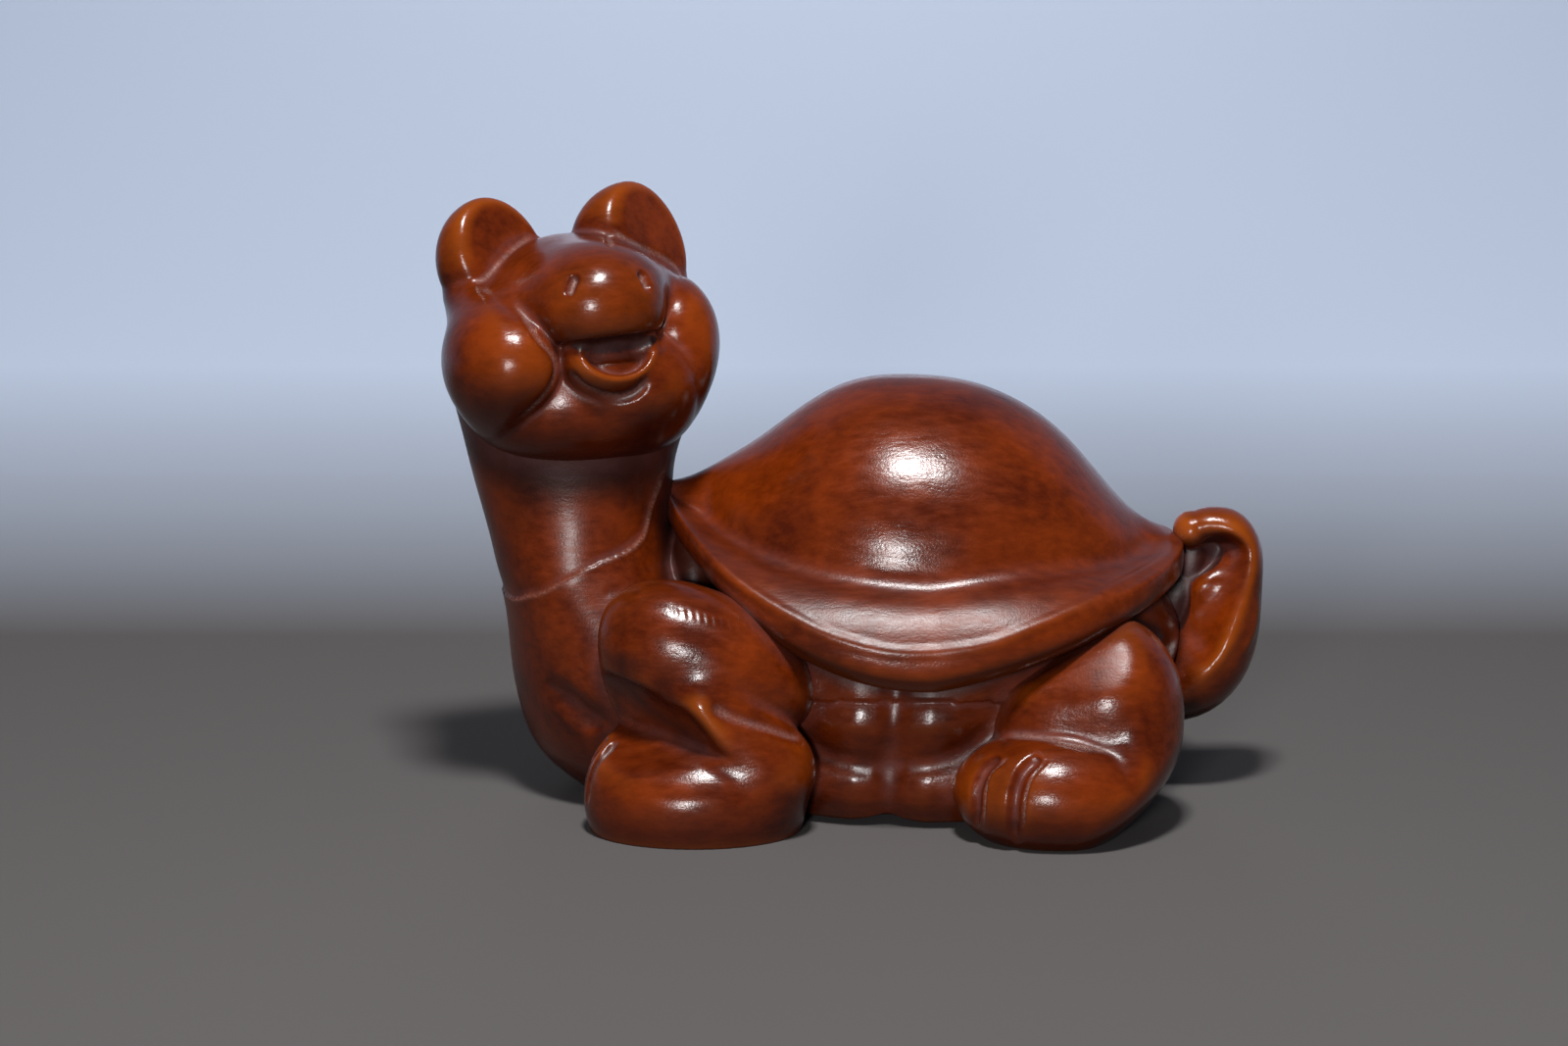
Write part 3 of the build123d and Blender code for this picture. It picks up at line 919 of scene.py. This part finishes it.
# %% Bridge grooves
bridge_upright = ((914, 700), (911, 740), (907, 790), (903, 850))
bridge_level = ((812, 756), (832, 769), (870, 781), (903, 784), (955, 780), (991, 766), (1013, 744))
bridge_top = ((818, 716), (870, 715), (913, 716), (965, 716), (1016, 718))


def carve_bridge():
    tree = skin_tree(bridge)
    pillow_edge = (3.2, 0.5, "groove", {"fade": 0})
    groove_side = (1.4, 0.35, "groove", {"fade": 0})
    # The groove floor paints shade into the bridge's grooves.
    groove_floor = (0.6, 0.5, "groove", {"fade": 0, "wax": 0.4, "painted_shade": 0.8})
    for line in (trace(tree, bridge_upright), trace(tree, bridge_level)):
        cut_both(bridge, line, pillow_edge, groove_side, groove_floor)
    top = trace(tree, bridge_top)
    for line in (top, flank_twin(top)[::-1]):
        cut(bridge, line, 1.4, 0.5, "step", fade=0)


carve_bridge()

# %% Toes and thigh
toe_lines = (((1021, 771), (1006, 783), (999, 797), (996, 812), (995, 851)),
             ((1062, 772), (1050, 781), (1042, 793), (1036, 816), (1035, 862)))
toe_scratches = (((1030, 772), (1011, 787), (1005, 806), (1003, 845)),
                 ((1069, 774), (1054, 790), (1046, 811), (1043, 848)))
ankle_fold = ((1027, 749), (1060, 752), (1093, 758), (1150, 770))
thigh_end = ((1147, 742), (1156, 752))


def carve_hindleg():
    tree = skin_tree(hindleg)
    for line in toe_lines:
        cut(hindleg, trace(tree, line), 0.9, 0.45)
        # The narrow cut paints shade into each toe groove.
        cut(hindleg, trace(tree, line), 0.42, 0.7, painted_shade=1.0)
    for line in toe_scratches:
        cut(hindleg, trace(tree, line), 0.26, 0.2, wax=0.7)
    cut(hindleg, trace(tree, ankle_fold), 0.8, 0.12, wax=0.6)
    rub_out(hindleg, tree, thigh_end, 1.2, 3.6, 80)
    middle, facing = np.array(thigh_facet)
    away = points_of(hindleg) - middle
    flat = eased(-np.abs(away @ facing), -0.5, -0.05) * eased(-row_lengths(away), -5.0, -1.0)
    mark(hindleg, "satin", 1.1 * flat)


carve_hindleg()

# %% Paw and arm
paw_lines = (((629, 737), (602, 778), (592, 797)), ((631, 754), (606, 784), (598, 823)))
arm_knob = ((702, 698), (712, 712))
arm_ridge = ((700, 700), (712, 720), (730, 748), (754, 784))
arm_hollow = ((634, 655), (636, 690), (662, 722), (700, 748), (730, 776))
elbow_fold = ((724, 719), (747, 732), (785, 743), (812, 751), (826, 748))
shoulder_strokes = [((684 + 8 * k, 613 + 2 * k), (688 + 8 * k, 631 + 2 * k)) for k in range(11)]


def carve_foreleg():
    tree = skin_tree(foreleg)
    for line in paw_lines:
        # Each paw line paints shade into its groove.
        cut(foreleg, trace(tree, line), 0.5, 0.35, wax=0.5, painted_shade=0.8)
    rub_out(foreleg, tree, arm_knob, 1.0, 3.4, 60)
    tree = skin_tree(foreleg)
    cut(foreleg, trace(tree, arm_ridge), 1.5, 0.3, "ridge", fade=0.4)
    # No cut here: only shade painted into the deep hollow between arm and paw.
    cut(foreleg, trace(tree, arm_hollow), 2.6, 0.0, painted_shade=0.85)
    cut(foreleg, trace(tree, elbow_fold), 0.9, 0.25, wax=0.4)
    chisel(foreleg, tree, shoulder_strokes, 0.32, 0.03)


carve_foreleg()
for leg in (foreleg, hindleg):
    points = points_of(leg)
    points[:, 2] = np.maximum(points[:, 2], 0)
    move_points(leg, points)
print("soles brought up on to the floor")

# %% The scoop in the tail
scoop_line = ((23.8, 0, 18.8), (23.6, 0, 17.4), (22.5, 0, 15.1), (21.2, 0, 12.6))
scoop_depth, scoop_radius = 1.4, 2.3
tail_ridges = (((1284, 600), (1280, 640), (1264, 676)), ((1262, 640), (1240, 676), (1216, 700)))


def carve_tail():
    points = points_of(tail)
    gap = nearest_on_line(points * (1, 0, 1), rounded(scoop_line))[0]
    sink = scoop_depth * np.clip(1 - (gap / scoop_radius) ** 2, 0, 1) ** 2
    points[:, 1] -= np.sign(points[:, 1]) * np.minimum(sink, np.abs(points[:, 1]) * 0.45)
    points = rasped(points, edges_of(tail), eased(-gap, -3.2, -2.0), 20)
    move_points(tail, points)
    # Painted shade on the two webs, which stand in the shadow inside the hook.
    for place, radii in (tail_web, tail_root):
        mark(tail, "painted_shade", 0.95 * (ovoid(points, place, np.array(radii) + 0.15) < 0))
    tree = skin_tree(tail)
    for ridge in tail_ridges:
        cut_both(tail, trace(tree, ridge), (0.9, 0.12, "ridge", {"fade": 0.3}))


carve_tail()

# %% [markdown]
# ## The other flank
#
# The right legs are copies of the left ones, mirrored across the middle of the turtle. A mirrored
# mesh is inside out, so its normals are worked out anew.

# %% Mirrored legs
def twin_of(piece, name):
    only(piece)
    bpy.ops.object.duplicate()
    twin = bpy.context.object
    twin.name = twin.data.name = name
    bpy.ops.object.mode_set(mode="EDIT")
    bpy.ops.mesh.select_all(action="SELECT")
    bpy.ops.transform.mirror(constraint_axis=(False, True, False), center_override=(0, 0, 0))
    bpy.ops.mesh.normals_make_consistent(inside=False)
    bpy.ops.object.mode_set(mode="OBJECT")
    marks[name] = {kind: values.copy() for kind, values in marks[piece.name].items()}
    return twin


foreleg_right = twin_of(foreleg, "foreleg_right")
hindleg_right = twin_of(hindleg, "hindleg_right")
pieces = [shell, head, torso, bridge, foreleg, foreleg_right, hindleg, hindleg_right, tail]
for piece in pieces:
    points = points_of(piece)
    print(piece.name, points.min(0).round(2), points.max(0).round(2))

# %% [markdown]
# ## Where wax and wear gather, and where shade is painted
#
# Wax stays in hollows and where two forms meet, and rubbing brightens whatever stands proud. Both
# are measured from the shape itself: a point that lies under the average of its neighbourhood is in a
# hollow, one above it is on a crest. The pale film in hollows is also a painted sheen, and the
# brightening on crests also a painted glow. A shade measure paints shade into the colour where a
# point faces down or lies near the ground, and a little where it faces straight up, and more shadow
# is painted where the head and the shell hang over the neck and the bridge. The measures are kept
# on the mesh for the finish to read.

# %% Measuring hollows, crests and meetings
def hollowness(piece, reach):
    """How far each point lies under the mean of the skin within about the given reach."""
    points, edges = points_of(piece), edges_of(piece)
    grain = row_lengths(points[edges[:, 0]] - points[edges[:, 1]]).mean()
    away = averaged(points, edges, max(2, round((reach / grain) ** 2)), 0.8) - points
    return (away * normals_of(piece)).sum(1)


def nearness(piece, others, reach):
    """One where another piece touches the skin, falling to nothing at the given reach."""
    points = points_of(piece)
    near = np.zeros(len(points))
    for other in others:
        spots = points_of(other)
        low, high = spots.min(0) - reach, spots.max(0) + reach
        for index in np.where(((points > low) & (points < high)).all(1))[0]:
            hit = trees[other.name].find_nearest(Vector(points[index]), reach)
            if hit[0] is not None:
                near[index] = max(near[index], 1 - hit[3] / reach)
    return near


def shade_of(piece):
    """How much shade to paint where a point faces down or lies near the ground, and a little where it faces
    straight up.
    """
    down = -averaged(normals_of(piece), edges_of(piece), 4)[:, 2]
    shade = 1.3 * eased(down, 0.0, 0.5) if piece is shell else eased(down, -0.1, 0.75)
    shade = np.maximum(shade, 0.8 * eased(-points_of(piece)[:, 2], -5.0, -0.5))
    return np.maximum(shade, 0.4 * eased(-down, 0.6, 1.0))


def keep_measure(piece, name, values, rounds=0):
    """Keeps a measure on the mesh, between 0 and 1, after evening it out over some rounds."""
    values = averaged(values[:, None], edges_of(piece), rounds)[:, 0]
    layer = piece.data.attributes.new(name, "FLOAT", "POINT")
    layer.data.foreach_set("value", np.clip(values, 0, 1).astype(np.float32))


# %% The measures of every piece
trees = {piece.name: skin_tree(piece) for piece in pieces}
# Painted shadow: the neck darkens under the chin, and the neck and bridge under the shell.
shaded_by = {"torso": ((head, 4.5), (shell, 2.2)), "bridge": ((shell, 2.2),)}
for piece in pieces:
    fine, broad = hollowness(piece, 0.5), hollowness(piece, 1.4)
    keep_measure(piece, "hollow", (broad - 0.03) / 0.26, 6)
    keep_measure(piece, "crest", (-broad - 0.12) / 0.28, 4)
    keep_measure(piece, "crease", (fine - 0.004) / 0.035, 2)
    others = [other for other in pieces if other is not piece]
    keep_measure(piece, "meeting", nearness(piece, others, 1.6), 2)
    keep_measure(piece, "shade", shade_of(piece))
    for caster, reach in shaded_by.get(piece.name, ()):
        mark(piece, "painted_shade", 0.9 * eased(nearness(piece, [caster], reach), 0.1, 0.8))
    unmarked = np.zeros(len(piece.data.vertices))
    for name in ("wax_line", "painted_shade", "satin"):
        keep_measure(piece, name, marks.get(piece.name, {}).get(name, unmarked))
    print(piece.name, "measured")

# %% [markdown]
# ## The finish
#
# Boxwood is pale and very fine-grained. This piece was stained red-brown and waxed. The stain is
# thinnest, and so most orange, where hands have rubbed it; a painted glow adds to that orange on the
# crests. Creases, recesses, undersides and what lies under the head and shell are darkened with
# painted shade, and the pale film of wax in hollows carries a painted sheen of reflection. One
# material does it all: its nodes read the measures and mix the colours and the gloss from them.

# %% Short names for shader nodes
def link(tree, source, target):
    tree.links.new(source, target)


def feed(tree, socket, value):
    """Gives a socket a plain number or colour, or links another node's output to it."""
    if isinstance(value, (int, float, tuple)):
        socket.default_value = value
    else:
        link(tree, value, socket)


def add_noise(tree, vector, scale, detail, rough):
    noise = tree.nodes.new("ShaderNodeTexNoise")
    for label, value in (("Scale", scale), ("Detail", detail), ("Roughness", rough), ("Vector", vector)):
        feed(tree, noise.inputs[label], value)
    return noise.outputs["Fac"]


def add_range(tree, value, low, high, to_low=0.0, to_high=1.0):
    node = tree.nodes.new("ShaderNodeMapRange")
    labels = ("Value", "From Min", "From Max", "To Min", "To Max")
    for label, number in zip(labels, (value, low, high, to_low, to_high)):
        feed(tree, node.inputs[label], number)
    return node.outputs["Result"]


def add_math(tree, kind, one, other):
    node = tree.nodes.new("ShaderNodeMath")
    node.operation = kind
    for socket, value in zip(node.inputs, (one, other)):
        feed(tree, socket, value)
    return node.outputs[0]


def times(tree, one, other):
    return add_math(tree, "MULTIPLY", one, other)


def most(tree, first, *others):
    """The greatest of several values."""
    for other in others:
        first = add_math(tree, "MAXIMUM", first, other)
    return first


def add_mix(tree, share, below, over):
    node = tree.nodes.new("ShaderNodeMix")
    node.data_type = "RGBA"
    colours = [socket for socket in node.inputs if socket.type == "RGBA"]
    for socket, value in zip([node.inputs[0], *colours], (share, below, over)):
        feed(tree, socket, value)
    return [socket for socket in node.outputs if socket.type == "RGBA"][0]


def measure(tree, name):
    node = tree.nodes.new("ShaderNodeAttribute")
    node.attribute_name = name
    return node.outputs["Fac"]


# %% The colour of stained wood
thick_stain, thin_stain = (0.07, 0.008, 0.0009, 1), (0.21, 0.0285, 0.0018, 1)
# The rubbed colour: stain worn thin on the crests, with a painted glow there as well.
rubbed_and_glowing_wood = (0.38, 0.078, 0.005, 1)
deep_shade = (0.018, 0.003, 0.002, 1)
# The pale film of old wax, with a painted sheen of reflection.
haze_and_sheen_colour = (0.15, 0.062, 0.065, 1)
wax_colour = (0.50, 0.36, 0.32, 1)


def wood_colour(tree, blotch, grain, shade, haze_and_sheen, wax):
    tone = add_math(tree, "ADD", times(tree, blotch, 0.65), times(tree, grain, 0.35))
    wood = add_mix(tree, add_range(tree, tone, 0.36, 0.64), thick_stain, thin_stain)
    # Crests: stain rubbed thin, and a painted glow.
    wood = add_mix(tree, times(tree, measure(tree, "crest"), 0.65), wood, rubbed_and_glowing_wood)
    # Painted shade: dark where the shade measure and the painted shade marks are.
    dark = most(tree, times(tree, shade, 0.8), times(tree, measure(tree, "painted_shade"), 0.95))
    wood = add_mix(tree, dark, wood, deep_shade)
    # A pale film of wax in hollows, with a painted sheen of reflection.
    wood = add_mix(tree, times(tree, haze_and_sheen, 0.33), wood, haze_and_sheen_colour)
    return add_mix(tree, times(tree, wax, 0.5), wood, wax_colour)


def haze_and_sheen_of(tree, place, shade):
    """The pale film of old wax, with a painted sheen of pale reflection: in hollows, creases and meetings,
    patchy, and none in deep shade.
    """
    hollow = add_range(tree, measure(tree, "hollow"), 0.05, 0.9)
    meeting = add_range(tree, measure(tree, "meeting"), 0.1, 0.95)
    patchy = add_range(tree, add_noise(tree, place, 420, 4, 0.6), 0.35, 0.65, 0.35, 1.0)
    film = most(tree, times(tree, hollow, 0.5), times(tree, meeting, 0.9), measure(tree, "crease"))
    return times(tree, times(tree, film, patchy), add_range(tree, shade, 0.4, 0.8, 1.0, 0.0))


# %% Boxwood, stained and waxed
def make_boxwood():
    material = bpy.data.materials.new("waxed_boxwood")
    material.use_nodes = True
    tree = material.node_tree
    shader = tree.nodes["Principled BSDF"]
    place = tree.nodes.new("ShaderNodeTexCoord").outputs["Object"]
    stretch = tree.nodes.new("ShaderNodeMapping")
    stretch.inputs["Scale"].default_value = (0.35, 1.0, 1.0)
    link(tree, place, stretch.inputs["Vector"])
    blotch = add_noise(tree, place, 150, 3, 0.6)
    grain = add_noise(tree, stretch.outputs["Vector"], 1500, 5, 0.65)
    fleck = add_noise(tree, place, 5200, 2, 0.5)
    shade = measure(tree, "shade")
    haze_and_sheen = haze_and_sheen_of(tree, place, shade)
    wax = times(tree, measure(tree, "wax_line"), add_range(tree, fleck, 0.4, 0.62, 0.3, 1.0))
    link(tree, wood_colour(tree, blotch, grain, shade, haze_and_sheen, wax), shader.inputs["Base Color"])
    shade_marked, satin = times(tree, measure(tree, "painted_shade"), 0.7), times(tree, measure(tree, "satin"), 0.5)
    dull = most(tree, times(tree, haze_and_sheen, 0.5), wax, shade_marked, satin)
    rough = add_range(tree, dull, 0.0, 1.0, 0.2, 0.55)
    rough = add_math(tree, "ADD", rough, add_range(tree, grain, 0.35, 0.65, -0.03, 0.05))
    link(tree, rough, shader.inputs["Roughness"])
    shader.inputs["IOR"].default_value = 1.42
    bump = tree.nodes.new("ShaderNodeBump")
    bump.inputs["Strength"].default_value = 0.35
    bump.inputs["Distance"].default_value = 0.00008
    link(tree, add_math(tree, "ADD", grain, times(tree, fleck, 0.35)), bump.inputs["Height"])
    link(tree, bump.outputs["Normal"], shader.inputs["Normal"])
    return material


boxwood = make_boxwood()
print("boxwood:", len(boxwood.node_tree.nodes), "nodes")

# %% [markdown]
# ## Setting the pieces down
#
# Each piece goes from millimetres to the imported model's metres, rides on the one body, and stands for
# the plain solids that it was made from.

# %% Pieces in the model's place
stands_for = {
    "shell": ("carapace",),
    "head": ("head", "snout", "left_cheek", "right_cheek", "left_ear", "right_ear", "lower_lip"),
    "torso": ("neck", "chest"),
    "bridge": ("trunk", "plastron"),
    "foreleg_left": ("front_left_arm", "front_left_paw"),
    "foreleg_right": ("front_right_arm", "front_right_paw"),
    "hindleg_left": ("hind_left_thigh", "hind_left_foot"),
    "hindleg_right": ("hind_right_thigh", "hind_right_foot"),
    "tail": ("tail",),
}
for piece in pieces:
    name = piece.name.split(".")[0]
    piece.data.transform(to_model)
    piece.data.materials.clear()
    piece.data.materials.append(boxwood)
    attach(piece, "root")
    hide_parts(*stands_for[name])
print("pieces set down:", [piece.name for piece in pieces])

# %% [markdown]
# ## Floor and light
#
# In the photograph the turtle stands on a dark mat and the room behind is pale and blurred. Here one
# bent floor does both: it is dark near the turtle and turns pale just behind it. Only the camera and
# mirrors see that paint, so the floor throws plain grey light on the turtle. Two soft boxes stand on
# the camera's side, one high and one low: they give the two highlights, one above the other, that
# every round form of the carving shows. A third lights the turtle from behind and isn't mirrored.

# %% A sweep of floor
floor_width, front_edge, back_edge = 3.0, -1.2, 0.62
wall_height, wall_bend = 1.4, 0.45


def make_floor():
    bpy.ops.object.select_all(action="DESELECT")
    bpy.ops.mesh.primitive_plane_add(size=1, location=(0, 0, 0))
    floor = bpy.context.object
    floor.name = floor.data.name = "floor_sweep"
    points = points_of(floor)
    points[:, 0] *= floor_width
    points[:, 1] = np.where(points[:, 1] > 0, back_edge, front_edge)
    move_points(floor, points)
    only(floor)
    bpy.ops.object.mode_set(mode="EDIT")
    bpy.ops.mesh.select_all(action="DESELECT")
    bpy.ops.object.mode_set(mode="OBJECT")
    for edge in floor.data.edges:
        edge.select = all(floor.data.vertices[v].co.y > 0.5 for v in edge.vertices)
    for vertex in floor.data.vertices:
        vertex.select = vertex.co.y > 0.5
    bpy.ops.object.mode_set(mode="EDIT")
    bpy.ops.mesh.select_mode(type="EDGE")
    bpy.ops.mesh.extrude_region_move(TRANSFORM_OT_translate={"value": (0, 0, wall_height)})
    bpy.ops.object.mode_set(mode="OBJECT")
    for edge in floor.data.edges:
        ends = [floor.data.vertices[v].co for v in edge.vertices]
        edge.select = all(abs(end.y - back_edge) < 1e-4 and end.z < 0.01 for end in ends)
    bpy.ops.object.mode_set(mode="EDIT")
    bpy.ops.mesh.bevel(offset=wall_bend, segments=24, affect="EDGES")
    bpy.ops.object.mode_set(mode="OBJECT")
    floor.data.shade_smooth()
    return floor


floor = make_floor()
print("floor:", len(floor.data.polygons), "faces")


# %% The floor's paint and the world
mat_colour, room_colour = (0.125, 0.115, 0.113, 1), (0.78, 0.86, 1.0, 1)
room_glow, no_glow = (0.10, 0.13, 0.20, 1), (0, 0, 0, 1)
unseen_grey = (0.12, 0.12, 0.12, 1)
sky_colour, sky_strength = (0.72, 0.78, 0.90, 1), 0.09


def make_floor_paint():
    paint = bpy.data.materials.new("pale_sweep")
    paint.use_nodes = True
    tree = paint.node_tree
    shader = tree.nodes["Principled BSDF"]
    path = tree.nodes.new("ShaderNodeLightPath")
    seen = most(tree, *(path.outputs[f"Is {kind} Ray"] for kind in ("Camera", "Glossy", "Transmission")))
    axes = tree.nodes.new("ShaderNodeSeparateXYZ")
    link(tree, tree.nodes.new("ShaderNodeTexCoord").outputs["Object"], axes.inputs["Vector"])
    far = add_range(tree, axes.outputs["Y"], 0.05, 0.19)
    shown = add_mix(tree, far, mat_colour, room_colour)
    link(tree, add_mix(tree, seen, unseen_grey, shown), shader.inputs["Base Color"])
    glow = add_mix(tree, times(tree, far, seen), no_glow, room_glow)
    link(tree, glow, shader.inputs["Emission Color"])
    shader.inputs["Emission Strength"].default_value = 1.0
    shader.inputs["Roughness"].default_value = 0.8
    shader.inputs["Specular IOR Level"].default_value = 0.2
    return paint


floor.data.materials.append(make_floor_paint())
world = bpy.data.worlds.new("studio")
bpy.context.scene.world = world
world.use_nodes = True
world.node_tree.nodes["Background"].inputs["Color"].default_value = sky_colour
world.node_tree.nodes["Background"].inputs["Strength"].default_value = sky_strength
print("world strength", sky_strength)


# %% Three soft boxes
def add_soft_box(name, azimuth, elevation, distance, size, power):
    """A square lamp aimed at the turtle. Azimuth 0 is the camera's side, and it grows to the right."""
    azimuth, elevation = math.radians(azimuth), math.radians(elevation)
    way = Vector((math.sin(azimuth) * math.cos(elevation), -math.cos(azimuth) * math.cos(elevation),
                  math.sin(elevation)))
    middle = Vector((0, 0, 0.02))
    bpy.ops.object.select_all(action="DESELECT")
    bpy.ops.object.light_add(type="AREA", location=middle + way * distance)
    lamp = bpy.context.object
    lamp.name = lamp.data.name = name
    lamp.rotation_euler = way.to_track_quat("Z", "Y").to_euler()
    lamp.data.shape = "SQUARE"
    lamp.data.size = size
    lamp.data.energy = power
    return lamp


add_soft_box("high_box", 0, 66, 0.32, 0.045, 0.98)
add_soft_box("low_box", -10, 10, 0.5, 0.055, 1.0)
rear_box = add_soft_box("rear_box", 180, 10, 0.5, 0.16, 0.9)
rear_box.visible_glossy = False

# %% View transform
bpy.context.scene.view_settings.view_transform = "Standard"
